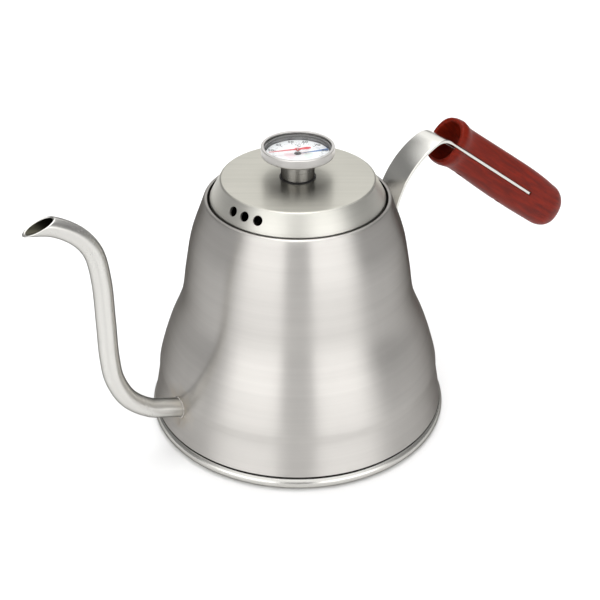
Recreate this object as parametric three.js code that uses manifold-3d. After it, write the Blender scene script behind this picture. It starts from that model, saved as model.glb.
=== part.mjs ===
// Gooseneck pour-over kettle whose lid knob is a dial thermometer.
// Millimetres. The origin is the centre of the flat underside, +Z is up,
// the spout points along -X and the handle along +X.

import * as THREE from "three";
import { mergeVertices } from "three/addons/utils/BufferGeometryUtils.js";
import Module from "manifold-3d";

const wasm = await Module();
wasm.setup();

// ---- driving dimensions ----

const GAP = 0.3; // between pieces that touch
const SHEET = 1.0; // steel sheet of the pot, the lid and the pans
const AROUND_POT = 40; // flat sides of each large round
const AROUND_KNOB = 24;
const AROUND_STEM = 12;

const RIM_R = 76.5; // outer radius of the rolled foot rim
const RIM_ROLL = 3.2; // radius of the roll itself
const RIM_Z = 3.5; // height of the roll's centre
const FLOOR_Z = 3.3; // underside of the pot's floor
const WALL_Z = 6.95; // lower edge of the pot's wall
const SOLE_R = 66.6; // the flat sole under the floor

// the pot's flank, from the foot to the shoulder, as radius and height
const FLANK = [
  [75.2, WALL_Z],
  [72.3, 23],
  [71.2, 32],
  [65.9, 49],
  [58.8, 66.4],
  [55.7, 84],
  [52.4, 101],
  [46.6, 117.4],
];
const FLANK_STEPS = 12;
const MOUTH_R = 43.1; // the seat that the lid drops into
const MOUTH_BEAD_R = 1.3;
const MOUTH_TOP_Z = 120.9;
const LEDGE_Z = 117.2; // the ledge that carries the lid
const LEDGE_R = 40.7;

// the spout's centre line, as distance from the kettle's axis and height
const SPOUT_LINE = [
  [64, 21.2],
  [78, 26.6],
  [87.8, 30.9],
  [98.7, 41.1],
  [104.9, 55],
  [106.4, 68],
  [106.4, 88],
  [106.6, 110],
  [109.1, 125],
  [115.3, 134.8],
  [126.2, 143],
  [137.5, 146.6],
  [142.5, 147.9],
];
const SPOUT_STEPS = 36;
const SPOUT_FOOT_R = 4.8; // outer radius where the tube leaves the pot
const SPOUT_TIP_R = 4.4;
const SPOUT_WALL = 0.8;
const SPOUT_RISE = 22; // degrees above level where it leaves the pot
const SPOUT_LIP = [138.6, 143.1]; // lowest point of the cut mouth
const SPOUT_CUT_FALL = 16.8; // degrees that the cut falls towards the lip
const WELD = [72.2, 24.2]; // centre of the weld bead on the pot
const WELD_BEAD_R = 0.9;

// the handle strap's centre line: a leg up the pot, three bends, a straight
const STRAP_WIDE = 16;
const STRAP_THICK = 1.8;
const STRAP_FOOT = [59.5, 68];
const STRAP_LEAN = 99.1; // degrees from +X
const STRAP_LEG = 22;
const STRAP_BENDS = [
  { radius: 26.7, to: 75.7 },
  { radius: 41.3, to: 22.1 },
  { radius: 9.7, to: -37.2 },
];
const STRAP_STRAIGHT = 78;

// the wooden grip, along the strap's straight (x) and square to it (z)
const GRIP_BACK = 117;
const GRIP_ROUND = 16; // length of the rounded back end
const GRIP_TOP = [
  [3, 12.3], [6, 13.3], [9, 13], [15, 12.2],
  [45, 12.6], [72, 12.9], [88, 12.6], [101, 11.7],
];
const GRIP_UNDER = [
  [3, 11.8], [6, 12.6], [9, 12.2], [18, 11.2],
  [45, 12.3], [60, 12.8], [80, 13.1], [101, 13],
];
const GRIP_SIDE = [[3, 10], [6, 10.8], [9, 10.3], [18, 8.7], [45, 8.4], [72, 8.6], [101, 8.5]];
const GRIP_SQUARE = 2.4; // exponent of the oval section
const GRIP_SAG = 1.5; // how far the back end's tip sits below the strap's line
const GRIP_HOLLOW = { x: 14, y: 8.4, z: 10.6 }; // half axes of the hollow in the open front end
const SCREWS = { grip_screw_front: 24.5, grip_screw_rear: 63.5 };
const SCREW_R = 1.4;
const SCREW_HEAD_R = 2.6;
const SCREW_TOP = 7;
const SCREW_SUNK = 0.8; // how far the head sits below the wood

const LID_R = 42.5;
const LID_PLATE_R = 36.9;
const LID_Z = 130.9; // top of the lid's flat plate
const LID_CONE_Z = 121;
const SKIRT_R = 40.2;
const SKIRT_Z = 104;
const VENT_R = 2.2;
const VENT_Z = 126;
const VENT_FROM_AXIS = 39.9;
const VENTS = [6.5, 17.1, 27.7]; // degrees from the spout's side

const SHANK_R = 6; // threaded shank of the knob's collar
const SHANK_Z = 122.5;
const COLLAR_R = 8.1;
const COLLAR_Z = 131.9;
const COLLAR_TOP = 139.8;
const COLLAR_BORE = 4.6;
const COLLAR_CUP_R = 7; // the recess in the collar's top for the sleeve's flange
const COLLAR_CUP_DEEP = 1.8;
const SEAL_R = 8.8;
const WASHER_R = 10;
const WASHER_Z = 128.9;
const NUT_R = 9.2; // across its corners, halved
const NUT_THICK = 3.6;
const NUT_Z = 126.8; // middle of the nut
const STEM_R = 2.5;
const STEM_BORE = 2.0;
const STEM_Z = 31; // lower end of the stem's tube
const TIP_Z = 28; // lowest point of the thermometer
const STEM_TOP = 141;
const CASE_Z = 140.2;
const CASE_R = 16.6;
const CASE_TOP = 144.7;
const CASE_SHEET = 0.7;
const CASE_FLOOR_Z = 141.1; // inside of the case's bottom
const DIAL_Z = 142.9; // face of the dial
const DIAL_R = 15.4;
const DIAL_THICK = 0.4;
const DIAL_HOLE_R = 1.2;
const BEZEL_R = 17.5;
const BEZEL_Z = 142.9;
const BEZEL_TOP = 147;
const BEZEL_LIP_R = 16;
const BEZEL_LIP = 0.5; // thickness of the lip over the lens
const LENS_R = 16.4;
const LENS_Z = 145.7;
const LENS_THICK = 0.5;
const GASKET_R = 15.5; // inner radius
const GASKET_Z = 145;
const GASKET_THICK = 0.4;
const NEEDLE_Z = 145.1;
const NEEDLE_TIP = 14;
const NEEDLE_TAIL = 6;
const NEEDLE_AT = 160; // degrees from +X, at room temperature
const NEEDLE_THICK = 0.3;
const NEEDLE_EYE_R = 1.5;
const HUB_R = 1.4;
const SHAFT_R = 0.5;
const SHAFT_Z = [37, 145.4];
const BUSH_Z = [134, 137];
const BUSH_PLAY = 0.1; // running clearance round the shaft
const PLUG_TOP = 36; // top of the plug that closes the stem
const COIL_R = 1.2;
const COIL_WIRE = 0.25;
const COIL_TURNS = 6;
const COIL_Z = [38, 58];

// ---- finishes ----

function finish(color, roughness, metalness) {
  return new THREE.MeshStandardMaterial({ color, roughness, metalness });
}

const BRUSHED = finish(0xb9b7b0, 0.35, 1);
const POLISHED = finish(0xcfcfcc, 0.15, 1);
const ALUMINIUM = finish(0xc8cacc, 0.45, 1);
const WOOD = finish(0x7d2a1e, 0.35, 0);
const SILICONE = finish(0x1c1a1a, 0.7, 0);
const DIAL = finish(0xf2f2ee, 0.5, 0);
const RED = finish(0xc22a33, 0.4, 0);
const BRASS = finish(0xc9a25a, 0.3, 1);
const GLASS = finish(0xf4f8fa, 0.05, 0);
GLASS.transparent = true;
GLASS.opacity = 0.3;

// ---- helpers ----

const kettle = new THREE.Group();
const rad = THREE.MathUtils.degToRad;
const point = ([x, y]) => new THREE.Vector2(x, y);

function add(name, geometry, material, parent = kettle) {
  const mesh = new THREE.Mesh(geometry, material);
  mesh.name = name;
  parent.add(mesh);
  return mesh;
}

// Points of an arc in the profile plane, angles in degrees.
function arc(x, y, radius, from, to, steps) {
  const points = [];
  for (let i = 0; i <= steps; i++) {
    const angle = rad(from + ((to - from) * i) / steps);
    points.push([x + radius * Math.cos(angle), y + radius * Math.sin(angle)]);
  }
  return points;
}

// Revolves a closed outline of radius and height about Z.
function turned(outline, around) {
  const points = outline.map(point);
  const onAxis = points[0].x < 1e-6 && points.at(-1).x < 1e-6;
  if (THREE.ShapeUtils.area(points) < 0) points.reverse();
  if (!onAxis) points.push(points[0].clone());
  return new THREE.LatheGeometry(points, around).rotateX(Math.PI / 2);
}

// A round disc or ring between two heights.
function ring(inner, outer, low, high, around) {
  return turned([[inner, low], [outer, low], [outer, high], [inner, high]], around);
}

// Extrudes an outline of the XZ plane to the same depth on both sides of it.
function plate(outline, depth, holes = []) {
  const shape = new THREE.Shape(outline.map(point));
  shape.holes.push(...holes);
  const geometry = new THREE.ExtrudeGeometry(shape, { depth, bevelEnabled: false, curveSegments: 8 });
  return geometry.translate(0, 0, -depth / 2).rotateX(Math.PI / 2);
}

// A round bar about Y, for drilling.
function drill(radius, length) {
  return new THREE.CylinderGeometry(radius, radius, length, AROUND_STEM);
}

function roundHole(radius) {
  return new THREE.Path().absarc(0, 0, radius, 0, 2 * Math.PI, true);
}

// A geometry as a manifold solid, and back.
function solid(geometry) {
  const bare = geometry.clone();
  bare.deleteAttribute("normal");
  bare.deleteAttribute("uv");
  const merged = mergeVertices(bare, 1e-4);
  const index = merged.index.array;
  const corners = [];
  for (let i = 0; i < index.length; i += 3) {
    const [a, b, c] = [index[i], index[i + 1], index[i + 2]];
    if (a !== b && b !== c && c !== a) corners.push(a, b, c);
  }
  return new wasm.Manifold(
    new wasm.Mesh({
      numProp: 3,
      vertProperties: new Float32Array(merged.attributes.position.array),
      triVerts: new Uint32Array(corners),
    }),
  );
}

function shell(manifold) {
  const mesh = manifold.getMesh();
  const geometry = new THREE.BufferGeometry();
  geometry.setAttribute("position", new THREE.BufferAttribute(mesh.vertProperties, 3));
  geometry.setIndex(new THREE.BufferAttribute(mesh.triVerts, 1));
  return geometry.toNonIndexed();
}

function cut(geometry, ...tools) {
  return shell(tools.reduce((rest, tool) => rest.subtract(solid(tool)), solid(geometry)));
}

// ---- pot ----

const flank = new THREE.SplineCurve(FLANK.map(point));

// The flank's sheet, moved along its outward normal by a distance.
function flankLine(distance, steps) {
  const line = [];
  for (let i = 0; i <= steps; i++) {
    const at = flank.getPointAt(i / steps);
    const along = flank.getTangentAt(i / steps);
    line.push([at.x + along.y * distance, at.y - along.x * distance]);
  }
  return line;
}

// A solid that fills the pot out to a distance from its outer face.
function potBlank(distance) {
  const outside = flankLine(distance, FLANK_STEPS);
  return turned([[0, outside[0][1]], ...outside, [0, outside.at(-1)[1]]], AROUND_POT);
}

// The spout's inside, run straight through the pot's wall.
function spoutBore(length) {
  const bore = drill(SPOUT_FOOT_R - SPOUT_WALL, length);
  return bore.rotateZ(Math.PI / 2 - rad(SPOUT_RISE)).translate(-WELD[0], 0, WELD[1]);
}

function potShell() {
  const inside = flankLine(-SHEET, FLANK_STEPS).slice(0, -1).reverse();
  const beadZ = MOUTH_TOP_Z - MOUTH_BEAD_R;
  const outline = [
    ...flankLine(0, FLANK_STEPS),
    ...arc(MOUTH_R + MOUTH_BEAD_R, beadZ, MOUTH_BEAD_R, 20, 180, 5),
    [MOUTH_R, LEDGE_Z],
    [LEDGE_R, LEDGE_Z],
    [LEDGE_R, LEDGE_Z - SHEET],
    [MOUTH_R + MOUTH_BEAD_R, LEDGE_Z - SHEET],
    ...inside,
  ];
  return cut(turned(outline, AROUND_POT), spoutBore(3 * SPOUT_FOOT_R));
}

function bottomPan() {
  const roll = arc(RIM_R - RIM_ROLL, RIM_Z, RIM_ROLL, 184, 524, 11);
  return turned([[0, FLOOR_Z], ...roll, [0, FLOOR_Z + SHEET]], AROUND_POT);
}

// The sole is a shallow cup that holds the aluminium disc against the floor.
function sole() {
  const top = FLOOR_Z - GAP;
  const chamfer = 0.6;
  return turned(
    [
      [0, 0],
      [SOLE_R - chamfer, 0],
      [SOLE_R, chamfer],
      [SOLE_R, top],
      [SOLE_R - SHEET, top],
      [SOLE_R - SHEET, SHEET],
      [0, SHEET],
    ],
    AROUND_POT);
}

add("pot_shell", potShell(), BRUSHED);
add("bottom_pan", bottomPan(), BRUSHED);
add("heat_disc", ring(0, SOLE_R - SHEET - GAP, SHEET + GAP, FLOOR_Z - GAP, AROUND_POT), ALUMINIUM);
add("sole", sole(), BRUSHED);

// ---- spout ----

function spoutTube() {
  const line = new THREE.CatmullRomCurve3(SPOUT_LINE.map(([x, z]) => new THREE.Vector3(-x, 0, z)));
  const section = new THREE.Shape().absarc(0, 0, 1, 0, 2 * Math.PI, false);
  section.holes.push(roundHole(1 - SPOUT_WALL / SPOUT_FOOT_R));
  const sweep = { extrudePath: line, steps: SPOUT_STEPS, curveSegments: 8 };
  const tube = new THREE.ExtrudeGeometry(section, sweep);
  const stations = line.getSpacedPoints(SPOUT_STEPS);
  const place = tube.attributes.position;
  const at = new THREE.Vector3();
  for (let i = 0; i < place.count; i++) {
    at.fromBufferAttribute(place, i);
    const away = stations.map((station) => station.distanceTo(at));
    const nearest = away.indexOf(Math.min(...away));
    const radius = THREE.MathUtils.lerp(SPOUT_FOOT_R, SPOUT_TIP_R, nearest / SPOUT_STEPS);
    at.sub(stations[nearest]).multiplyScalar(radius).add(stations[nearest]);
    place.setXYZ(i, at.x, at.y, at.z);
  }
  return tube;
}

function spout() {
  const bead = new THREE.TorusGeometry(SPOUT_FOOT_R + 0.2, WELD_BEAD_R, 6, 16);
  bead.rotateY(Math.PI / 2).scale(1, 1, 1 / Math.cos(rad(SPOUT_RISE)));
  bead.translate(-WELD[0] - GAP, 0, WELD[1]);
  const above = new THREE.BoxGeometry(80, 40, 40);
  above.translate(10, 0, 20).rotateY(rad(-SPOUT_CUT_FALL));
  above.translate(-SPOUT_LIP[0], 0, SPOUT_LIP[1]);
  const ringed = solid(bead).subtract(solid(spoutBore(4 * SPOUT_FOOT_R)));
  return shell(solid(spoutTube()).add(ringed).subtract(solid(potBlank(GAP))).subtract(solid(above)));
}

add("spout", spout(), BRUSHED);

// ---- handle ----

// The strap's centre line as points with their heading, and where its straight begins.
function strapLine() {
  const line = [];
  const at = point(STRAP_FOOT);
  let heading = STRAP_LEAN;
  const mark = () => line.push({ x: at.x, z: at.y, heading });
  const go = (distance, direction) => {
    at.x += distance * Math.cos(rad(direction));
    at.y += distance * Math.sin(rad(direction));
  };
  mark();
  go(STRAP_LEG, heading);
  mark();
  for (const { radius, to } of STRAP_BENDS) {
    const steps = Math.ceil(Math.abs(heading - to) / 9);
    const turn = (to - heading) / steps;
    for (let i = 0; i < steps; i++) {
      go(2 * radius * Math.sin(rad(Math.abs(turn) / 2)), heading + turn / 2);
      heading += turn;
      mark();
    }
  }
  const start = at.clone();
  go(STRAP_STRAIGHT, heading);
  mark();
  return { line, start, heading };
}

const strap = strapLine();

function strapBand() {
  const side = (sign) =>
    strap.line.map(({ x, z, heading }) => [
      x - (sign * STRAP_THICK * Math.sin(rad(heading))) / 2,
      z + (sign * STRAP_THICK * Math.cos(rad(heading))) / 2,
    ]);
  return plate([...side(1), ...side(-1).reverse()], STRAP_WIDE);
}

// The grip's own frame: x runs down the strap's straight, z stands square to it.
const gripFrame = new THREE.Group();
gripFrame.position.set(strap.start.x, 0, strap.start.y);
gripFrame.rotation.y = rad(-strap.heading);
gripFrame.updateMatrix();
kettle.add(gripFrame);

const gripTop = new THREE.SplineCurve(GRIP_TOP.map(point));
const gripUnder = new THREE.SplineCurve(GRIP_UNDER.map(point));
const gripSide = new THREE.SplineCurve(GRIP_SIDE.map(point));
const GRIP_FRONT = GRIP_TOP[0][0];
const GRIP_MIDDLE = GRIP_BACK - GRIP_ROUND; // where the back end starts to round

// A spline's height at a distance down the grip.
function heightAt(spline, x) {
  let low = 0;
  let high = 1;
  for (let i = 0; i < 30; i++) {
    const middle = (low + high) / 2;
    if (spline.getPoint(middle).x < x) low = middle;
    else high = middle;
  }
  return spline.getPoint(low).y;
}

// A unit round bar, closed at both ends, drawn out to the grip's oval sections.
function gripBlank() {
  const stations = [GRIP_FRONT, 4.2, 6, 9, 12, 16, 22, 32, 45, 60, 74, 88];
  for (let i = 0; i <= 5; i++) stations.push(GRIP_MIDDLE + GRIP_ROUND * Math.sin(rad(18 * i)));
  const bar = stations.slice(0, -1).map((x) => [1, x]);
  const blank = turned([[0, GRIP_FRONT], ...bar, [0, GRIP_BACK]], 24);
  const place = blank.attributes.position;
  for (let i = 0; i < place.count; i++) {
    const x = place.getZ(i);
    const across = place.getX(i);
    const up = place.getY(i);
    const size = Math.hypot(across, up);
    const back = Math.max(0, (x - GRIP_MIDDLE) / GRIP_ROUND);
    const round = size * Math.sqrt(Math.max(0, 1 - back * back));
    const angle = Math.atan2(up, across);
    const swell = (value) => Math.sign(value) * Math.abs(value) ** (2 / GRIP_SQUARE);
    const height = heightAt(up > 0 ? gripTop : gripUnder, Math.min(x, GRIP_MIDDLE));
    const width = heightAt(gripSide, Math.min(x, GRIP_MIDDLE));
    const y = swell(Math.cos(angle)) * width * round;
    const z = swell(Math.sin(angle)) * height * round - GRIP_SAG * back * back;
    place.setXYZ(i, x, size < 1e-6 ? 0 : y, size < 1e-6 ? -GRIP_SAG * back * back : z);
  }
  return blank;
}

function screwProfile(x, grow) {
  const head = -heightAt(gripUnder, x) + SCREW_SUNK;
  const bottom = grow ? head - 10 : head;
  const top = SCREW_TOP + grow;
  return [
    [0, bottom],
    [SCREW_HEAD_R + grow, bottom],
    [SCREW_HEAD_R + grow, head + 0.6 + grow],
    [SCREW_R + grow, head + 2 + grow],
    [SCREW_R + grow, top],
    [0, top],
  ];
}

const screw = (x, grow) => turned(screwProfile(x, grow), AROUND_STEM).translate(x, 0, 0);

function grip() {
  const hollow = new THREE.SphereGeometry(1, 16, 10);
  hollow.scale(GRIP_HOLLOW.x, GRIP_HOLLOW.y, GRIP_HOLLOW.z).translate(GRIP_FRONT, 0, 0);
  const slot = new THREE.BoxGeometry(STRAP_STRAIGHT + 10, 60, STRAP_THICK + 2 * GAP);
  slot.translate((STRAP_STRAIGHT - 10) / 2 + GAP, 0, 0);
  const holes = Object.values(SCREWS).map((x) => screw(x, GAP));
  return cut(gripBlank(), hollow, slot, ...holes);
}

function drilledStrap() {
  const holes = Object.values(SCREWS).map((x) => {
    const hole = drill(SCREW_R + GAP, 6);
    return hole.rotateX(Math.PI / 2).translate(x, 0, 0).applyMatrix4(gripFrame.matrix);
  });
  return cut(strapBand(), ...holes);
}

add("handle_strap", drilledStrap(), BRUSHED);
add("grip", grip(), WOOD, gripFrame);
for (const [name, x] of Object.entries(SCREWS)) add(name, screw(x, 0), POLISHED, gripFrame);

// ---- lid ----

function lidCap() {
  const rim = LEDGE_Z + GAP;
  const corner = LID_R - LID_PLATE_R;
  const outline = [
    [LID_R - SHEET, rim],
    [LID_R, rim],
    [LID_R, LID_CONE_Z],
    [LID_PLATE_R + 0.12 * corner, LID_Z - 0.8],
    [LID_PLATE_R, LID_Z - 0.2],
    [LID_PLATE_R - 1, LID_Z],
    [SHANK_R + GAP, LID_Z],
    [SHANK_R + GAP, LID_Z - SHEET],
    [LID_PLATE_R - 1, LID_Z - SHEET],
    [LID_R - SHEET, LID_CONE_Z - 0.4],
  ];
  const tilt = Math.atan2(LID_R - LID_PLATE_R, LID_Z - LID_CONE_Z);
  const vents = VENTS.map((angle) => {
    const vent = drill(VENT_R, 8);
    vent.rotateZ(Math.PI / 2 - tilt).translate(-VENT_FROM_AXIS, 0, VENT_Z);
    return vent.rotateZ(rad(angle));
  });
  return cut(turned(outline, AROUND_POT), ...vents);
}

function lidSkirt() {
  const flange = LEDGE_Z + 0.4;
  return turned(
    [
      [SKIRT_R - SHEET, SKIRT_Z],
      [SKIRT_R, SKIRT_Z],
      [SKIRT_R, flange],
      [LID_R - SHEET - GAP, flange],
      [LID_R - SHEET - GAP, flange + SHEET],
      [SKIRT_R - SHEET, flange + SHEET],
    ],
    AROUND_POT);
}

// The collar stands on the lid, and its threaded shank passes through to the nut.
function collar() {
  return turned(
    [
      [COLLAR_BORE, SHANK_Z],
      [SHANK_R, SHANK_Z],
      [SHANK_R, COLLAR_Z],
      [COLLAR_R, COLLAR_Z],
      [COLLAR_R, COLLAR_TOP],
      [COLLAR_CUP_R, COLLAR_TOP],
      [COLLAR_CUP_R, COLLAR_TOP - COLLAR_CUP_DEEP],
      [COLLAR_BORE, COLLAR_TOP - COLLAR_CUP_DEEP],
    ],
    AROUND_KNOB);
}

function collarNut() {
  const flats = new THREE.CylinderGeometry(NUT_R, NUT_R, NUT_THICK, 6);
  flats.rotateX(Math.PI / 2).translate(0, 0, NUT_Z);
  return cut(flats, ring(0, SHANK_R + GAP, NUT_Z - NUT_THICK, NUT_Z + NUT_THICK, AROUND_KNOB));
}

add("lid_cap", lidCap(), BRUSHED);
add("lid_skirt", lidSkirt(), BRUSHED);
add("knob_collar", collar(), BRUSHED);
add("collar_seal", ring(SHANK_R + GAP, SEAL_R, LID_Z + GAP, COLLAR_Z - GAP, AROUND_KNOB), SILICONE);
add("nut_washer", ring(SHANK_R + GAP, WASHER_R, WASHER_Z, LID_Z - SHEET - GAP, AROUND_KNOB), POLISHED);
add("collar_nut", collarNut(), POLISHED);

// A silicone sleeve lines the collar and grips the thermometer's stem.
function stemSleeve() {
  const flange = COLLAR_TOP - COLLAR_CUP_DEEP + GAP;
  return turned(
    [
      [STEM_R + GAP, SHANK_Z],
      [COLLAR_BORE - GAP, SHANK_Z],
      [COLLAR_BORE - GAP, flange],
      [COLLAR_CUP_R - GAP, flange],
      [COLLAR_CUP_R - GAP, COLLAR_TOP],
      [STEM_R + GAP, COLLAR_TOP],
    ],
    AROUND_KNOB);
}

add("stem_sleeve", stemSleeve(), SILICONE);

// ---- thermometer ----

function thermometerCase() {
  return turned(
    [
      [STEM_R + GAP, CASE_Z],
      [12.5, CASE_Z + 0.2],
      [15.4, CASE_Z + 1.1],
      [CASE_R, CASE_Z + 2.2],
      [CASE_R, CASE_TOP],
      [CASE_R - CASE_SHEET, CASE_TOP],
      [CASE_R - CASE_SHEET, CASE_FLOOR_Z + 1.2],
      [14.8, CASE_FLOOR_Z + 0.7],
      [12, CASE_FLOOR_Z],
      [STEM_R + GAP, CASE_FLOOR_Z],
    ],
    AROUND_KNOB);
}

function bezel() {
  const chamfer = 0.3;
  return turned(
    [
      [CASE_R + GAP, BEZEL_Z],
      [BEZEL_R, BEZEL_Z],
      [BEZEL_R, BEZEL_TOP - chamfer],
      [BEZEL_R - chamfer, BEZEL_TOP],
      [BEZEL_LIP_R, BEZEL_TOP],
      [BEZEL_LIP_R, BEZEL_TOP - BEZEL_LIP],
      [CASE_R + GAP, BEZEL_TOP - BEZEL_LIP],
    ],
    AROUND_KNOB);
}

function stemTip() {
  const dome = arc(0, TIP_Z + STEM_R, STEM_R, -90, 0, 4);
  const plug = STEM_BORE - GAP;
  return turned(
    [...dome, [STEM_R, STEM_Z - GAP], [plug, STEM_Z - GAP], [plug, PLUG_TOP], [0, PLUG_TOP]],
    AROUND_STEM);
}

class Helix extends THREE.Curve {
  constructor(radius, turns, low, high) {
    super();
    Object.assign(this, { radius, turns, low, high });
  }

  getPoint(t, target = new THREE.Vector3()) {
    const angle = 2 * Math.PI * this.turns * t;
    const height = THREE.MathUtils.lerp(this.low, this.high, t);
    return target.set(this.radius * Math.cos(angle), this.radius * Math.sin(angle), height);
  }
}

// The strip that winds and unwinds with heat and turns the needle's shaft.
function bimetalCoil() {
  const wire = new THREE.Shape().absarc(0, 0, COIL_WIRE, 0, 2 * Math.PI, false);
  const extrudePath = new Helix(COIL_R, COIL_TURNS, ...COIL_Z);
  return new THREE.ExtrudeGeometry(wire, { extrudePath, steps: 8 * COIL_TURNS, curveSegments: 2 });
}

add("thermometer_case", thermometerCase(), POLISHED);
add("bezel_ring", bezel(), POLISHED);
add("lens_gasket", ring(GASKET_R, LENS_R, GASKET_Z, GASKET_Z + GASKET_THICK, AROUND_KNOB), SILICONE);
add("lens", ring(0, LENS_R, LENS_Z, LENS_Z + LENS_THICK, AROUND_KNOB), GLASS);
add("dial_plate", ring(DIAL_HOLE_R, DIAL_R, DIAL_Z - DIAL_THICK, DIAL_Z, AROUND_KNOB), DIAL);
add("stem_tube", ring(STEM_BORE, STEM_R, STEM_Z, STEM_TOP, AROUND_STEM), POLISHED);
add("stem_tip", stemTip(), POLISHED);
add("bimetal_coil", bimetalCoil(), BRASS);
add("shaft_bush", ring(SHAFT_R + BUSH_PLAY, STEM_BORE - GAP, ...BUSH_Z, AROUND_STEM), BRASS);

// ---- needle ----

// A long thin point on one side of the hub and a broad tail on the other.
function needle() {
  const outline = [
    [NEEDLE_TIP, 0],
    [NEEDLE_EYE_R, 0.45],
    ...arc(0, 0, NEEDLE_EYE_R, 40, 140, 4),
    [-NEEDLE_TAIL + 1, 1.1],
    [-NEEDLE_TAIL, 0],
  ];
  const mirrored = outline.slice(1, -1).map(([x, y]) => [x, -y]).reverse();
  const flat = plate([...outline, ...mirrored], NEEDLE_THICK, [roundHole(SHAFT_R + GAP)]);
  flat.rotateX(-Math.PI / 2).rotateZ(rad(NEEDLE_AT));
  return flat.translate(0, 0, NEEDLE_Z + NEEDLE_THICK / 2);
}

add("needle", needle(), RED);
add("needle_hub", ring(SHAFT_R + GAP, HUB_R, NEEDLE_Z - 1, NEEDLE_Z - GAP, AROUND_STEM), RED);
add("needle_shaft", ring(0, SHAFT_R, ...SHAFT_Z, AROUND_STEM), POLISHED);

export default kettle;
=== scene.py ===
"""Looks of the gooseneck kettle: fine meshes, materials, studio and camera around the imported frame."""

from math import atan2, ceil, cos, hypot, pi, radians, sin, tan

import bmesh
import bpy
from mathutils import Matrix, Vector


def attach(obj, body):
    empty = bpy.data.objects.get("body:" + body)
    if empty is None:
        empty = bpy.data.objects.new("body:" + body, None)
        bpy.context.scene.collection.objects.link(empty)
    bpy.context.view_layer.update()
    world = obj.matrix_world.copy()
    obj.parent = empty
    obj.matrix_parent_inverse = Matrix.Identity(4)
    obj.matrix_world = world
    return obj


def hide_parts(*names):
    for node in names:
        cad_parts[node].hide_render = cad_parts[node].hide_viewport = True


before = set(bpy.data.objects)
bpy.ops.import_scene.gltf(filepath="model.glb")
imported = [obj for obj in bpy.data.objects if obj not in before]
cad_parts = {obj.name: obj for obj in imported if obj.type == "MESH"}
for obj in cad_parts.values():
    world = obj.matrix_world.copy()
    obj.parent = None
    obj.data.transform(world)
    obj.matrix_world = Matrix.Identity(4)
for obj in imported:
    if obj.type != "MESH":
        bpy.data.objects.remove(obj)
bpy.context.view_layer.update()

MM = 0.001

# ---- sizes, in millimetres, as the frame has them ----

POT_AROUND = 192
KNOB_AROUND = 96
SHEET = 1.0

RIM_R = 76.5
RIM_ROLL = 3.2
RIM_Z = 3.5
FLOOR_Z = 3.3
WALL_Z = 6.95
SOLE_R = 66.6
FLANK = [(75.2, 6.95), (72.3, 23), (71.2, 32), (65.9, 49), (58.8, 66.4), (55.7, 84), (52.4, 101), (46.6, 117.4)]
MOUTH_R = 43.1
MOUTH_BEAD_R = 1.3
MOUTH_TOP_Z = 120.9
LEDGE_Z = 117.2
LEDGE_R = 40.7

SPOUT_LINE = [
    (64, 21.2), (78, 26.6), (87.8, 30.9), (98.7, 41.1), (104.9, 55), (106.4, 68), (106.4, 88),
    (106.6, 110), (109.1, 125), (115.3, 134.8), (126.2, 143), (137.5, 146.6), (142.5, 147.9),
]
SPOUT_FOOT_R = 4.8
SPOUT_TIP_R = 4.4
SPOUT_WALL = 0.8
SPOUT_LIP = (138.6, 143.1)
SPOUT_CUT_FALL = 16.8
SPOUT_RISE = 22
WELD = (72.2, 24.2)

STRAP_WIDE = 16
STRAP_THICK = 1.8
STRAP_FOOT = (59.5, 68)
STRAP_LEAN = 99.1
STRAP_LEG = 22
STRAP_BENDS = [(26.7, 75.7), (41.3, 22.1), (9.7, -37.2)]
STRAP_STRAIGHT = 78

GRIP_BACK = 117
GRIP_ROUND = 16
GRIP_TOP = [(3, 12.3), (6, 13.3), (9, 13), (15, 12.2), (45, 12.6), (72, 12.9), (88, 12.6), (101, 11.7)]
GRIP_UNDER = [(3, 11.8), (6, 12.6), (9, 12.2), (18, 11.2), (45, 12.3), (60, 12.8), (80, 13.1), (101, 13)]
GRIP_SIDE = [(3, 10), (6, 10.8), (9, 10.3), (18, 8.7), (45, 8.4), (72, 8.6), (101, 8.5)]
GRIP_SQUARE = 2.4
GRIP_SAG = 1.5
GRIP_HOLLOW = (14, 8.4, 10.6)
SCREWS = {"grip_screw_front": 24.5, "grip_screw_rear": 63.5}
SCREW_HEAD_R = 2.6
SCREW_SUNK = 0.8

LID_R = 42.5
LID_PLATE_R = 36.9
LID_Z = 130.9
LID_CONE_Z = 121
SKIRT_R = 40.2
SKIRT_Z = 104
VENT_R = 2.4
VENT_Z = 126
VENT_FROM_AXIS = 39.9
VENTS = (6.5, 17.1, 27.7)

SHANK_R = 6
SHANK_Z = 122.5
COLLAR_R = 8.05
COLLAR_Z = 131.35
SEAL_R = 8.8
SEAL_TOP = 131.3
COLLAR_TOP = 139.8
COLLAR_BORE = 4.6
STEM_R = 2.5
CASE_Z = 140.2
CASE_R = 16.6
DIAL_Z = 142.9
DIAL_R = 15.4
BEZEL_R = 17.5
BEZEL_TOP = 147
BEZEL_LIP_R = 16
NEEDLE_Z = 145.1
NEEDLE_AT = 160  # degrees from +X at rest, where the scale reads 20
SHAFT_R = 0.5

PHOTO_SIDE = radians(235)  # azimuth of the main view's camera about the kettle


# ---- mesh helpers: everything is drawn in millimetres and scaled once ----

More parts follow.
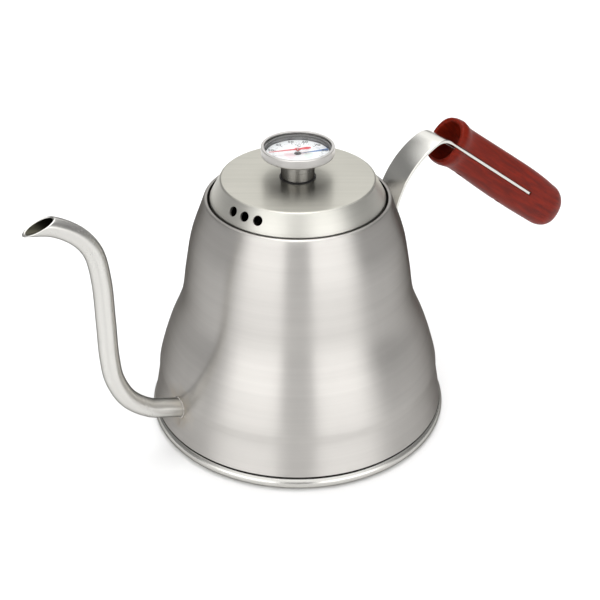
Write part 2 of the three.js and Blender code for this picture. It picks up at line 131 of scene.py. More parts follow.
def spline(points, count, power=0.5):
    """Points along the Catmull-Rom curve through the given ones, with count steps to a span."""
    known = [Vector(p) for p in points]
    known = [2 * known[0] - known[1], *known, 2 * known[-1] - known[-2]]
    line = []
    for a, b, c, d in zip(known, known[1:], known[2:], known[3:]):
        ta = 0
        tb = ta + (b - a).length ** power
        tc = tb + (c - b).length ** power
        td = tc + (d - c).length ** power
        for i in range(count):
            t = tb + (tc - tb) * i / count
            ab = a * (tb - t) / (tb - ta) + b * (t - ta) / (tb - ta)
            bc = b * (tc - t) / (tc - tb) + c * (t - tb) / (tc - tb)
            cd = c * (td - t) / (td - tc) + d * (t - tc) / (td - tc)
            abc = ab * (tc - t) / (tc - ta) + bc * (t - ta) / (tc - ta)
            bcd = bc * (td - t) / (td - tb) + cd * (t - tb) / (td - tb)
            line.append(abc * (tc - t) / (tc - tb) + bcd * (t - tb) / (tc - tb))
    line.append(known[-2])
    return line


def softened(corners, steps=5):
    """A closed outline of (x, y, radius) corners, each rounded to its radius."""
    outline = []
    for i, (x, y, radius) in enumerate(corners):
        here = Vector((x, y))
        back = Vector(corners[i - 1][:2]) - here
        ahead = Vector(corners[(i + 1) % len(corners)][:2]) - here
        if radius <= 0:
            outline.append((x, y))
            continue
        half = back.angle(ahead) / 2
        reach = min(radius / tan(half), 0.49 * back.length, 0.49 * ahead.length)
        start = here + back.normalized() * reach
        end = here + ahead.normalized() * reach
        for s in range(steps + 1):
            t = s / steps
            outline.append(tuple(start * (1 - t) ** 2 + here * (2 * t * (1 - t)) + end * t * t))
    return outline


def arc(x, y, radius, start, end, steps):
    turn = [radians(start + (end - start) * i / steps) for i in range(steps + 1)]
    return [(x + radius * cos(a), y + radius * sin(a)) for a in turn]


def bridge(bm, low, high, closed=True):
    """Faces between two rings of vertices, either of which may be a single one."""
    count = max(len(low), len(high))
    for i in range(count if closed else count - 1):
        j = (i + 1) % count
        corners = []
        for vert in (low[i % len(low)], low[j % len(low)], high[j % len(high)], high[i % len(high)]):
            if vert not in corners:
                corners.append(vert)
        if len(corners) > 2:
            bm.faces.new(corners)


def lathe(outline, around=POT_AROUND):
    """Revolves an outline of (radius, height) that ends on the axis or closes on itself."""
    bm = bmesh.new()
    rings = []
    for radius, z in outline:
        count = around if radius > 1e-6 else 1
        spots = [2 * pi * i / around for i in range(count)]
        rings.append([bm.verts.new((radius * cos(a), radius * sin(a), z)) for a in spots])
    for low, high in zip(rings, rings[1:]):
        bridge(bm, low, high)
    if len(rings[0]) > 1:
        bridge(bm, rings[-1], rings[0])
    return bm


def rings_to_mesh(sections, capped=True):
    """Joins rings of points in order, with flat ends."""
    bm = bmesh.new()
    rings = [[bm.verts.new(p) for p in section] for section in sections]
    for low, high in zip(rings, rings[1:]):
        bridge(bm, low, high)
    if capped:
        for end in (rings[0], rings[-1]):
            if len(end) > 2:
                bm.faces.new(end)
    return bm


def tidy(bm, sharp=35):
    bmesh.ops.remove_doubles(bm, verts=bm.verts, dist=1e-5)
    bmesh.ops.recalc_face_normals(bm, faces=bm.faces)
    for face in bm.faces:
        face.smooth = True
    for edge in bm.edges:
        edge.smooth = len(edge.link_faces) != 2 or edge.calc_face_angle(0) < radians(sharp)


def as_object(bm, name="scratch"):
    mesh = bpy.data.meshes.new(name)
    bm.to_mesh(mesh)
    bm.free()
    piece = bpy.data.objects.new(name, mesh)
    bpy.context.scene.collection.objects.link(piece)
    return piece


def carve(bm, cutters, operation="DIFFERENCE"):
    """Cuts each of the cutters out of a mesh, and uses them up."""
    bmesh.ops.recalc_face_normals(bm, faces=bm.faces)
    piece = as_object(bm)
    tools = []
    for cutter in cutters:
        bmesh.ops.recalc_face_normals(cutter, faces=cutter.faces)
        tool = as_object(cutter)
        modifier = piece.modifiers.new("cut", "BOOLEAN")
        modifier.operation = operation
        modifier.solver = "EXACT"
        modifier.object = tool
        tools.append(tool)
    graph = bpy.context.evaluated_depsgraph_get()
    carved = bmesh.new()
    carved.from_mesh(bpy.data.meshes.new_from_object(piece.evaluated_get(graph)))
    for used in (piece, *tools):
        bpy.data.objects.remove(used)
    return carved


def rod(radius, length, around=48):
    bm = bmesh.new()
    bmesh.ops.create_cone(
        bm, cap_ends=True, segments=around, radius1=radius, radius2=radius, depth=length)
    return bm


def block(size, place, turn=Matrix.Identity(4)):
    bm = bmesh.new()
    bmesh.ops.create_cube(bm, size=1)
    bm.transform(Matrix.Translation(place) @ turn @ Matrix.Diagonal((*size, 1)))
    return bm


def show(name, bm, body, material, nodes=(), sharp=35):
    """Turns a mesh into a piece that rides on a body, and stands for those CAD nodes."""
    tidy(bm, sharp)
    bm.transform(Matrix.Scale(MM, 4))
    piece = as_object(bm, name)
    piece.data.materials.append(material)
    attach(piece, body)
    if nodes:
        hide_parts(*nodes)
    return piece


# ---- materials ----

class Nodes:
    """A small wrapper that adds linked shader nodes in one call."""

    def __init__(self, tree):
        self.tree = tree

    def add(self, kind, inputs=None, **settings):
        node = self.tree.nodes.new(kind)
        for name, value in settings.items():
            setattr(node, name, value)
        for key, value in (inputs or {}).items():
            socket = node.inputs[key]
            if isinstance(value, bpy.types.NodeSocket):
                self.tree.links.new(value, socket)
            else:
                socket.default_value = value
        return node

    def math(self, operation, a, b=0.0, c=0.0):
        return self.add("ShaderNodeMath", {0: a, 1: b, 2: c}, operation=operation).outputs[0]

    def ramp(self, value, low, high, to_low=0.0, to_high=1.0, soft=True):
        keys = {"Value": value, "From Min": low, "From Max": high, "To Min": to_low, "To Max": to_high}
        kind = "SMOOTHSTEP" if soft else "LINEAR"
        return self.add("ShaderNodeMapRange", keys, interpolation_type=kind).outputs[0]

    def mix(self, factor, a, b):
        node = self.add("ShaderNodeMix", data_type="RGBA")
        for key, value in ((0, factor), (6, a), (7, b)):
            if isinstance(value, bpy.types.NodeSocket):
                self.tree.links.new(value, node.inputs[key])
            else:
                node.inputs[key].default_value = value
        return node.outputs[2]

    def along(self, place, turn, stretch):
        """Coordinates turned about Y and then stretched, for grain that runs along a piece."""
        turned = self.add("ShaderNodeMapping", {"Vector": place, "Rotation": (0, turn, 0)}).outputs[0]
        return self.add("ShaderNodeMapping", {"Vector": turned, "Scale": stretch}).outputs[0]

    def noise(self, vector, scale, detail=2.0, rough=0.5, **more):
        keys = {"Vector": vector, "Scale": scale, "Detail": detail, "Roughness": rough, **more}
        dimensions = "4D" if "W" in more else "3D"
        return self.add("ShaderNodeTexNoise", keys, noise_dimensions=dimensions).outputs["Fac"]


def new_material(name):
    material = bpy.data.materials.new(name)
    material.use_nodes = True
    material.node_tree.nodes.clear()
    nodes = Nodes(material.node_tree)
    shader = nodes.add("ShaderNodeBsdfPrincipled")
    output = nodes.add("ShaderNodeOutputMaterial")
    material.node_tree.links.new(shader.outputs[0], output.inputs[0])
    return material, nodes, shader


def wire(nodes, shader, **values):
    for name, value in values.items():
        socket = shader.inputs[name.replace("_", " ")]
        if isinstance(value, bpy.types.NodeSocket):
            nodes.tree.links.new(value, socket)
        else:
            socket.default_value = value


def rgb(red, green, blue):
    return (red, green, blue, 1.0)


FLAT_TINT = rgb(0.9, 0.89, 0.87)  # flat sheet keeps its shine at low angles
SHADED_EDGE_TINT = rgb(0.04, 0.038, 0.036)  # painted shade at the silhouettes: the steel's reflection is dimmed at grazing angles
FOOT_SHADE_Z = 0.0076  # metres; below this the wall's lower edge is painted near black where it meets the rim, painted shade in the crease


def spun_steel(
        name, color, rough, strength=1.0, anisotropic=0.75, smudge=None, shaded_seat=None, straight=None, edge=SHADED_EDGE_TINT):
    """Steel brushed round the kettle's axis, with streaks, faint smudges and fine scratches."""
    material, nodes, shader = new_material(name)
    place = nodes.add("ShaderNodeTexCoord").outputs["Object"]
    parts = nodes.add("ShaderNodeSeparateXYZ", {0: place}).outputs
    flat = nodes.add("ShaderNodeCombineXYZ", {0: parts[0], 1: parts[1]}).outputs[0]
    radius = nodes.add("ShaderNodeVectorMath", {0: flat}, operation="LENGTH").outputs["Value"]
    around = nodes.add("ShaderNodeVectorMath", {0: flat}, operation="NORMALIZE").outputs[0]
    spread = nodes.add("ShaderNodeVectorMath", {0: around, 1: (1.6, 1.6, 0)}, operation="MULTIPLY").outputs[0]
    level = nodes.math("MULTIPLY", parts[2], 2600)
    line = nodes.add("ShaderNodeCombineXYZ", {2: level}).outputs[0]
    grain_at = nodes.add("ShaderNodeVectorMath", {0: spread, 1: line}, operation="ADD").outputs[0]
    outward = nodes.math("MULTIPLY", radius, 2600)
    fine = nodes.noise(grain_at, 1.0, 4.0, 0.65, W=outward)
    bands = nodes.noise(grain_at, 0.16, 2.0, 0.5, W=nodes.math("MULTIPLY", outward, 0.16))
    tangent = nodes.add("ShaderNodeTangent", direction_type="RADIAL", axis="Z").outputs[0]
    if straight is not None:
        turned = nodes.add("ShaderNodeMapping", {"Vector": place, "Rotation": (0, 0, -straight)}).outputs[0]
        lines = nodes.add("ShaderNodeMapping", {"Vector": turned, "Scale": (0.02, 1, 0)}).outputs[0]
        fine = nodes.noise(lines, 2200.0, 4.0, 0.65)
        bands = nodes.noise(lines, 420.0, 2.0, 0.5)
        tangent = nodes.add("ShaderNodeCombineXYZ", {0: cos(straight), 1: sin(straight)}).outputs[0]
    cloud = nodes.noise(place, 26.0, 3.0, 0.55)
    streak = nodes.math("MULTIPLY_ADD", nodes.math("SUBTRACT", fine, 0.5), 0.10 * strength, rough)
    streak = nodes.math("MULTIPLY_ADD", nodes.math("SUBTRACT", cloud, 0.5), 0.10, streak)
    tone = nodes.math("MULTIPLY_ADD", nodes.math("SUBTRACT", bands, 0.5), 0.5 * strength, 0.5)
    tone = nodes.math("MULTIPLY_ADD", nodes.math("SUBTRACT", fine, 0.5), 0.30 * strength, tone)
    dark = rgb(*(0.88 * c for c in color))
    light = rgb(*(min(1, 1.08 * c) for c in color))
    base = nodes.mix(tone, dark, light)
    if smudge:
        centre, reach = smudge
        offset = nodes.add(
            "ShaderNodeVectorMath", {0: place, 1: centre}, operation="SUBTRACT").outputs[0]
        away = nodes.add("ShaderNodeVectorMath", {0: offset}, operation="LENGTH").outputs["Value"]
        blotch = nodes.noise(place, 210.0, 3.0, 0.6)
        away = nodes.math("MULTIPLY_ADD", nodes.math("SUBTRACT", blotch, 0.5), reach, away)
        near = nodes.ramp(away, 0.35 * reach, reach, 1.0, 0.0)
        streak = nodes.math("MULTIPLY_ADD", near, 0.16, streak)
        base = nodes.mix(nodes.math("MULTIPLY", near, 0.45), base, rgb(0.75, 0.68, 0.58))
    # painted shade: the lid seat's inner wall and the wall's foot are coloured near black and made rougher,
    # standing in for the shade in the gap under the lid and in the crease at the rim
    if shaded_seat:
        seat_r, seat_z = shaded_seat
        inside = nodes.math("LESS_THAN", radius, seat_r)
        over = nodes.math("GREATER_THAN", parts[2], seat_z)
        foot = nodes.math("LESS_THAN", parts[2], FOOT_SHADE_Z)
        painted_gap_shade = nodes.math("MAXIMUM", nodes.math("MULTIPLY", inside, over), foot)
        base = nodes.mix(painted_gap_shade, base, rgb(0.03, 0.028, 0.026))
        streak = nodes.math("MULTIPLY_ADD", painted_gap_shade, 0.4, streak)
    bump = nodes.add("ShaderNodeBump", {"Height": fine, "Strength": 0.05 * strength, "Distance": 0.0002})
    wire(nodes, shader, Base_Color=base, Metallic=1.0, Roughness=streak, Anisotropic=anisotropic)
    wire(nodes, shader, Normal=bump.outputs[0], Tangent=tangent)
    wire(nodes, shader, Anisotropic_Rotation=0.25, Specular_Tint=edge)
    return material


def drawn_steel(name, color, rough, turn=0.0, stretch=(0.04, 1.0, 1.0), anisotropic=0.0, edge=SHADED_EDGE_TINT):
    """Satin steel with fine lines along the piece and soft variation in its polish."""
    material, nodes, shader = new_material(name)
    place = nodes.add("ShaderNodeTexCoord").outputs["Object"]
    lines = nodes.along(place, turn, stretch)
    fine = nodes.noise(lines, 2400.0, 3.0, 0.6)
    cloud = nodes.noise(place, 60.0, 3.0, 0.6)
    polish = nodes.math("MULTIPLY_ADD", nodes.math("SUBTRACT", fine, 0.5), 0.12, rough)
    polish = nodes.math("MULTIPLY_ADD", nodes.math("SUBTRACT", cloud, 0.5), 0.12, polish)
    dark = rgb(*(0.9 * c for c in color))
    base = nodes.mix(fine, dark, rgb(*color))
    bump = nodes.add("ShaderNodeBump", {"Height": fine, "Strength": 0.04, "Distance": 0.0002})
    wire(nodes, shader, Base_Color=base, Metallic=1.0, Roughness=polish, Normal=bump.outputs[0])
    normal = nodes.add("ShaderNodeNewGeometry").outputs["Normal"]
    axis = nodes.add("ShaderNodeVectorMath", {0: normal, 1: (0, 1, 0)}, operation="CROSS_PRODUCT").outputs[0]
    lengthwise = nodes.add("ShaderNodeVectorMath", {0: axis}, operation="NORMALIZE").outputs[0]
    wire(nodes, shader, Anisotropic=anisotropic, Tangent=lengthwise, Specular_Tint=edge)
    return material


def lacquered_wood(name):
    """Red-brown stained wood: long grain lines and pores, under a satin lacquer."""
    material, nodes, shader = new_material(name)
    place = nodes.add("ShaderNodeTexCoord").outputs["Object"]
    along = nodes.along(place, radians(-37.2), (0.10, 1, 1))
    sway = nodes.noise(along, 120.0, 2.0, 0.5)
    bent = nodes.add(
        "ShaderNodeVectorMath", {0: along, 1: nodes.math("MULTIPLY", sway, 0.004)}, operation="ADD").outputs[0]
    rings = nodes.noise(bent, 620.0, 4.0, 0.65)
    pores = nodes.noise(bent, 2600.0, 3.0, 0.7)
    pores = nodes.ramp(pores, 0.58, 0.68)
    cloud = nodes.noise(place, 45.0, 2.0, 0.5)
    grain = nodes.mix(nodes.ramp(rings, 0.35, 0.68), rgb(0.10, 0.006, 0.002), rgb(0.205, 0.012, 0.003))
    grain = nodes.mix(nodes.math("MULTIPLY", nodes.ramp(cloud, 0.3, 0.75), 0.4), grain, rgb(0.17, 0.011, 0.003))
    grain = nodes.mix(nodes.math("MULTIPLY", pores, 0.4), grain, rgb(0.05, 0.006, 0.004))
    height = nodes.math("SUBTRACT", nodes.math("MULTIPLY", rings, 0.4), pores)
    bump = nodes.add("ShaderNodeBump", {"Height": height, "Strength": 0.12, "Distance": 0.0003})
    polish = nodes.math("MULTIPLY_ADD", rings, 0.14, 0.38)
    wire(nodes, shader, Base_Color=grain, Roughness=polish, Normal=bump.outputs[0])
    wire(nodes, shader, Coat_Weight=0.06, Coat_Roughness=0.13, Specular_IOR_Level=0.08)
    return material


def plain(name, color, rough, metallic=0.0, scale=900.0, depth=0.05, **more):
    """A smooth moulded, painted or polished finish with fine unevenness."""
    material, nodes, shader = new_material(name)
    place = nodes.add("ShaderNodeTexCoord").outputs["Object"]
    fine = nodes.noise(place, scale, 3.0, 0.6)
    cloud = nodes.noise(place, 0.08 * scale, 2.0, 0.5)
    polish = nodes.math("MULTIPLY_ADD", nodes.math("SUBTRACT", cloud, 0.5), 0.5 * rough, rough)
    base = nodes.mix(fine, rgb(*(0.88 * c for c in color)), rgb(*color))
    bump = nodes.add("ShaderNodeBump", {"Height": fine, "Strength": depth, "Distance": 0.0002})
    wire(nodes, shader, Base_Color=base, Metallic=metallic, Roughness=polish, Normal=bump.outputs[0], **more)
    return material


def clear_glass(name):
    """A flat lens: light passes straight through, with a faint reflection."""
    material, nodes, shader = new_material(name)
    place = nodes.add("ShaderNodeTexCoord").outputs["Object"]
    dust = nodes.ramp(nodes.noise(place, 800.0, 3.0, 0.7), 0.62, 0.8)
    wire(nodes, shader, Base_Color=rgb(0.97, 0.99, 1.0), IOR=1.15, Transmission_Weight=1.0)
    wire(nodes, shader, Roughness=nodes.math("MULTIPLY", dust, 0.05), Alpha=0.12)
    return material


STEEL = (0.54, 0.522, 0.498)
# the pot steel carries painted shade in the lid seat and at the foot of the wall
POT_STEEL = spun_steel(
    "pot_steel", STEEL, 0.36, 1.5, anisotropic=0.94, smudge=((-0.0722, 0, 0.0242), 0.014), shaded_seat=(0.0438, 0.1155))
LID_STEEL = spun_steel("lid_steel", (0.60, 0.59, 0.545), 0.42, 1.8, anisotropic=0.4, edge=FLAT_TINT)
# the plate's straight grain is real; its tone, darker than the cone's, is painted shade on the lid's top
SHADED_PLATE_STEEL = spun_steel(
    "plate_steel_shaded", (0.405, 0.396, 0.355), 0.34, 2.0, anisotropic=0.8, straight=radians(-35), edge=FLAT_TINT)
PAN_STEEL = spun_steel("pan_steel", (0.60, 0.59, 0.56), 0.27, anisotropic=0.5)
TUBE_STEEL = drawn_steel("tube_steel", (0.70, 0.69, 0.66), 0.25, stretch=(1.0, 1.0, 0.05), anisotropic=0.92)
STRAP_STEEL = drawn_steel("strap_steel", (0.74, 0.73, 0.69), 0.20, turn=radians(-37.2), edge=FLAT_TINT)
POLISHED = plain("polished_steel", (0.58, 0.57, 0.55), 0.20, 1.0)
BEZEL_STEEL = plain("bezel_steel", (0.57, 0.555, 0.535), 0.34, 1.0)
COLLAR_STEEL = spun_steel("collar_steel", (0.38, 0.37, 0.35), 0.28, 1.6, anisotropic=0.9)
GASKET = plain("lens_gasket", (0.22, 0.22, 0.215), 0.5)
WELD_STEEL = plain("weld_steel", (0.42, 0.40, 0.37), 0.36, 1.0, scale=1500.0, depth=0.3)
ALUMINIUM = plain("aluminium", (0.80, 0.81, 0.82), 0.40, 1.0)
WOOD = lacquered_wood("lacquered_wood")
SILICONE = plain("silicone", (0.02, 0.019, 0.019), 0.55)
DIAL_WHITE = plain("dial_white", (0.86, 0.88, 0.89), 0.45)
INK = plain("dial_ink", (0.02, 0.02, 0.025), 0.5)
NEEDLE_RED = plain("needle_red", (0.62, 0.02, 0.035), 0.3)
BRASS = plain("brass", (0.75, 0.56, 0.27), 0.3, 1.0)
# painted shade: the case's lower faces are coloured near black for the shade under the dial; CASE_INSIDE keeps the
# case's plain tone
SHADED_CASE_BACK = plain("case_back_painted_shade", (0.06, 0.054, 0.05), 0.34, 1.0)
CASE_INSIDE = plain("case_inside", (0.24, 0.235, 0.23), 0.4, 1.0)
# painted shade: the spout's inner wall is coloured near black, standing in for the shade inside the tube
BORE_SHADE_STEEL = plain("bore_steel_shade", (0.10, 0.095, 0.07), 0.42, 1.0, scale=1600.0, depth=0.3)
GLASS = clear_glass("clear_glass")


# ---- pot ----

def flank_line(distance, steps):
    """The pot's flank, moved outwards by a distance."""
    line = spline(FLANK, steps, 0.0)
    moved = []
    for i, at in enumerate(line):
        along = (line[min(i + 1, len(line) - 1)] - line[max(i - 1, 0)]).normalized()
        moved.append((at.x + along.y * distance, at.y - along.x * distance))
    return moved


FLANK_FINE = flank_line(0, 12)


def flank_radius(z):
    for (r0, z0), (r1, z1) in zip(FLANK_FINE, FLANK_FINE[1:]):
        if z0 <= z <= z1:
            return r0 + (r1 - r0) * (z - z0) / (z1 - z0)
    return FLANK_FINE[0][0] if z < FLANK_FINE[0][1] else FLANK_FINE[-1][0]


def pot_shell():
    bead_z = MOUTH_TOP_Z - MOUTH_BEAD_R
    inside = [p for p in flank_line(-SHEET, 8) if p[1] < LEDGE_Z - 2 * SHEET][::-1]
    outline = [
        *FLANK_FINE,
        *arc(MOUTH_R + MOUTH_BEAD_R, bead_z, MOUTH_BEAD_R, 25, 180, 12),
        *softened([(MOUTH_R, LEDGE_Z, 0.5), (LEDGE_R, LEDGE_Z, 0.3), (LEDGE_R, LEDGE_Z - SHEET, 0.3)])[6:],
        (MOUTH_R + MOUTH_BEAD_R, LEDGE_Z - SHEET),
        *inside,
        (FLANK[0][0] - SHEET, WALL_Z),
    ]
    bore = rod(SPOUT_FOOT_R - SPOUT_WALL, 14)
    turn = Matrix.Rotation(-(pi / 2 - radians(SPOUT_RISE)), 4, "Y")
    bore.transform(Matrix.Translation((-WELD[0], 0, WELD[1])) @ turn)
    return carve(lathe(outline), [bore])


def bottom_pan():
    roll = arc(RIM_R - RIM_ROLL, RIM_Z, RIM_ROLL, 184, 524, 40)
    return lathe([(0, FLOOR_Z), *roll, (0, FLOOR_Z + SHEET)])


def sole():
    """The sole, pressed with shallow rings."""
    under = [(0, 0.0)]
    for start in (14, 28, 42, 56):
        under += [(start, 0), (start + 0.5, 0.25), (start + 1.5, 0.25), (start + 2, 0)]
    top = FLOOR_Z - 0.3
    edge = arc(SOLE_R - 0.8, 0.8, 0.8, -90, 0, 6)
    return lathe([*under, *edge, (SOLE_R, top), (SOLE_R - SHEET, top), (SOLE_R - SHEET, SHEET), (0, SHEET)])


# ---- spout ----

class Path:
    """A line in the XZ plane that can be asked for its place and heading at a distance."""

    def __init__(self, points):
        self.points = [Vector(p) for p in points]
        self.lengths = [0.0]
        for a, b in zip(self.points, self.points[1:]):
            self.lengths.append(self.lengths[-1] + (b - a).length)
        self.length = self.lengths[-1]

    def at(self, distance):
        distance = min(max(distance, 0), self.length)
        i = 0
        low, high = 0, len(self.points) - 2
        while low <= high:
            i = (low + high) // 2
            if distance < self.lengths[i]:
                high = i - 1
            elif distance > self.lengths[i + 1]:
                low = i + 1
            else:
                break
        share = (distance - self.lengths[i]) / (self.lengths[i + 1] - self.lengths[i])
        place = self.points[i].lerp(self.points[i + 1], share)
        before = self.points[max(i - 1, 0)]
        after = self.points[min(i + 2, len(self.points) - 1)]
        return place, (after - before).normalized()

    def point(self, distance, across, up):
        """A point beside the line: across is along Y and up is square to the line."""
        place, heading = self.at(distance)
        return Vector((place.x - heading.y * up, across, place.y + heading.x * up))


SPOUT = Path([(-p.x, p.y) for p in spline(SPOUT_LINE, 24)])


def spout_radius(distance):
    return SPOUT_FOOT_R + (SPOUT_TIP_R - SPOUT_FOOT_R) * distance / SPOUT.length


def spout_point(distance, angle, inset):
    radius = spout_radius(distance) - inset
    return SPOUT.point(distance, radius * sin(angle), -radius * cos(angle))


def spout_reach(angle, inset, stop, low, high):
    """The distance along the spout, between low and high, at which stop first holds."""
    for _ in range(40):
        middle = (low + high) / 2
        if stop(spout_point(middle, angle, inset)):
            high = middle
        else:
            low = middle
    return low


def past_cut(point):
    fall = radians(SPOUT_CUT_FALL)
    lip = Vector((-SPOUT_LIP[0], 0, SPOUT_LIP[1]))
    return (point - lip).dot(Vector((-sin(fall), 0, cos(fall)))) > 0


def outside_pot(point):
    return hypot(point.x, point.y) > flank_radius(point.z)


def spout_tube():
    """Outer and inner walls, an oblique cut at the mouth and a rounded lip."""
    around = 64
    common = 0.80 * SPOUT.length
    angles = [2 * pi * i / around for i in range(around)]
    walls = []
    for inset in (0, SPOUT_WALL):
        starts = [spout_reach(a, inset, outside_pot, 0, 0.2 * SPOUT.length) - 0.4 for a in angles]
        ends = [spout_reach(a, inset, past_cut, common, SPOUT.length) for a in angles]
        rings = []
        for share in [i / 110 for i in range(110)]:
            rings.append([spout_point(s + (common - s) * share, a, inset) for a, s in zip(angles, starts)])
        for share in [i / 40 for i in range(41)]:
            rings.append([spout_point(common + (e - common) * share, a, inset) for a, e in zip(angles, ends)])
        walls.append(rings)
    outer, inner = walls
    fall = radians(SPOUT_CUT_FALL)
    off_cut = Vector((-sin(fall), 0, cos(fall)))
    lip = []
    for share in [i / 6 for i in range(1, 6)]:
        swell = 0.28 * sin(pi * share)
        lip.append([a.lerp(b, share) + off_cut * swell for a, b in zip(outer[-1], inner[-1])])
    bm = rings_to_mesh([*outer, *lip, *inner[::-1], outer[0]], capped=False)
    bm.faces.ensure_lookup_table()
    for face in bm.faces[around * (len(outer) + len(lip)):]:
        face.material_index = 1
    return bm


def weld_bead():
    """A ring of overlapping weld ripples where the tube meets the pot."""
    around = 180
    ripples = 22
    spine = []
    for i in range(around):
        angle = 2 * pi * i / around
        start = spout_reach(angle, 0, outside_pot, 0, 0.2 * SPOUT.length)
        spine.append(spout_point(start, angle, 0))
    middle = sum(spine, Vector()) / around
    sections = []
    for i, at in enumerate(spine):
        along = (spine[(i + 1) % around] - spine[i - 1]).normalized()
        out = (at - middle).normalized()
        out = (out - along * out.dot(along)).normalized()
        lift = along.cross(out)
        phase = (ripples * i / around) % 1
        radius = 0.42 + 0.2 * (1 - (2 * phase - 1) ** 2) + 0.06 * sin(5 * i / around * 2 * pi)
        centre = at + out * 0.15
        ring = [2 * pi * k / 14 for k in range(14)]
        sections.append([centre + out * radius * cos(t) + lift * radius * sin(t) for t in ring])
    bm = bmesh.new()
    rings = [[bm.verts.new(p) for p in section] for section in sections]
    for low, high in zip(rings, rings[1:] + rings[:1]):
        bridge(bm, low, high)
    return bm


# ---- handle ----

def strap_path():
    """The strap's centre line and the place and heading where its straight begins."""
    at = Vector(STRAP_FOOT)
    heading = STRAP_LEAN
    points = [at.copy()]

    def go(distance, direction, steps=1):
        for _ in range(steps):
            at.x += distance / steps * cos(radians(direction))
            at.y += distance / steps * sin(radians(direction))
            points.append(at.copy())

    go(STRAP_LEG, heading, 12)
    for radius, end in STRAP_BENDS:
        steps = ceil(abs(heading - end) / 1.5)
        turn = (end - heading) / steps
        for _ in range(steps):
            go(2 * radius * sin(radians(abs(turn) / 2)), heading + turn / 2)
            heading += turn
    start = at.copy()
    go(STRAP_STRAIGHT, heading, 40)
    return Path(points), start, heading


STRAP, GRIP_START, GRIP_HEADING = strap_path()
GRIP_TURN = Matrix.Translation((GRIP_START.x, 0, GRIP_START.y)) @ Matrix.Rotation(-radians(GRIP_HEADING), 4, "Y")


def rounded_bar(wide, thick, radius, steps=4):
    """The outline of a flat bar with rounded edges, as (across, up)."""
    corners = [(wide / 2, thick / 2), (-wide / 2, thick / 2), (-wide / 2, -thick / 2), (wide / 2, -thick / 2)]
    return softened([(x, y, radius) for x, y in corners], steps)


def handle_strap():
    """The strap: its foot is cut round, its edges are broken."""
    count = 190
    sections = []
    for i in range(count + 1):
        distance = STRAP.length * i / count
        foot = min(1, distance / 5)
        wide = STRAP_WIDE * (0.35 + 0.65 * (1 - (1 - foot) ** 2) ** 0.5)
        outline = rounded_bar(wide, STRAP_THICK, 0.45)
        sections.append([STRAP.point(distance, across, up) for across, up in outline])
    holes = []
    for x in SCREWS.values():
        hole = rod(1.7, 6)
        hole.transform(GRIP_TURN @ Matrix.Translation((x, 0, 0)))
        holes.append(hole)
    return carve(rings_to_mesh(sections), holes)


def spot_welds():
    """Two rows of shallow spot-weld rings on the strap's leg."""
    bm = bmesh.new()
    lean = radians(STRAP_LEAN - 90)
    for distance in (6, 15):
        for side in (-3.6, 3.6):
            ring = lathe([(1.5, -0.05), (1.9, 0.1), (2.3, -0.05)], 32)
            place = STRAP.point(distance, side, -STRAP_THICK / 2)
            ring.transform(Matrix.Translation(place) @ Matrix.Rotation(pi / 2 - lean, 4, "Y"))
            mesh = bpy.data.meshes.new("scratch")
            ring.to_mesh(mesh)
            bm.from_mesh(mesh)
            ring.free()
    return bm


def height_at(line, x):
    for a, b in zip(line, line[1:]):
        if a.x <= x <= b.x:
            return a.y + (b.y - a.y) * (x - a.x) / (b.x - a.x)
    return line[0].y if x < line[0].x else line[-1].y


TOP_LINE = spline(GRIP_TOP, 16, 0.0)
UNDER_LINE = spline(GRIP_UNDER, 16, 0.0)
SIDE_LINE = spline(GRIP_SIDE, 16, 0.0)


def oval(x, scale_y, scale_z, top, under, side, square, sag=0.0):
    """A ring of points across the grip at x, as a squarish oval."""
    ring = []
    for i in range(96):
        angle = 2 * pi * i / 96
        c, s = cos(angle), sin(angle)
        y = abs(c) ** (2 / square) * (1 if c > 0 else -1) * side * scale_y
        z = abs(s) ** (2 / square) * (top if s > 0 else -under) * scale_z
        ring.append((x, y, z - sag))
    return ring


def grip():
    """One loft from the rounded back, along the outside, over the lip and into the hollow front."""
    front = GRIP_TOP[0][0]
    middle = GRIP_BACK - GRIP_ROUND
    lip = 1.0
    sections = []
    for i in range(25):
        back = cos(pi / 2 * i / 25)
        x = middle + GRIP_ROUND * back
        round_off = max(0.002, (1 - back * back) ** 0.5)
        sizes = [height_at(line, middle) for line in (TOP_LINE, UNDER_LINE, SIDE_LINE)]
        sections.append(oval(x, round_off, round_off, *sizes, GRIP_SQUARE, GRIP_SAG * back * back))
    for i in range(71):
        x = middle + (front + lip - middle) * i / 70
        sizes = [height_at(line, x) for line in (TOP_LINE, UNDER_LINE, SIDE_LINE)]
        sections.append(oval(x, 1, 1, *sizes, GRIP_SQUARE))
    deep, wide, tall = GRIP_HOLLOW
    outer = sections[-1]
    inner = oval(front + lip, 1, 1, tall, tall, wide, 2.1)
    for i in range(1, 12):
        turn = pi * i / 12
        share = (1 - cos(turn)) / 2
        rim = [Vector(a).lerp(Vector(b), share) for a, b in zip(outer, inner)]
        sections.append([(front + lip - lip * sin(turn), p.y, p.z) for p in rim])
    for i in range(25):
        turn = pi / 2 * i / 25
        sections.append(oval(front + lip + (deep - lip) * sin(turn), cos(turn), cos(turn), tall, tall, wide, 2.1))
    bm = rings_to_mesh(sections)
    slot = block(
        (STRAP_STRAIGHT + 10, 60, STRAP_THICK + 0.24), ((STRAP_STRAIGHT - 10) / 2 + 0.2, 0, 0))
    holes = []
    for x in SCREWS.values():
        hole = rod(SCREW_HEAD_R + 0.2, 10, 40)
        hole.transform(Matrix.Translation((x, 0, -height_at(UNDER_LINE, x) + SCREW_SUNK - 3.6)))
        holes.append(hole)
    bm = carve(bm, [slot, *holes])
    bm.transform(GRIP_TURN)
    return bm


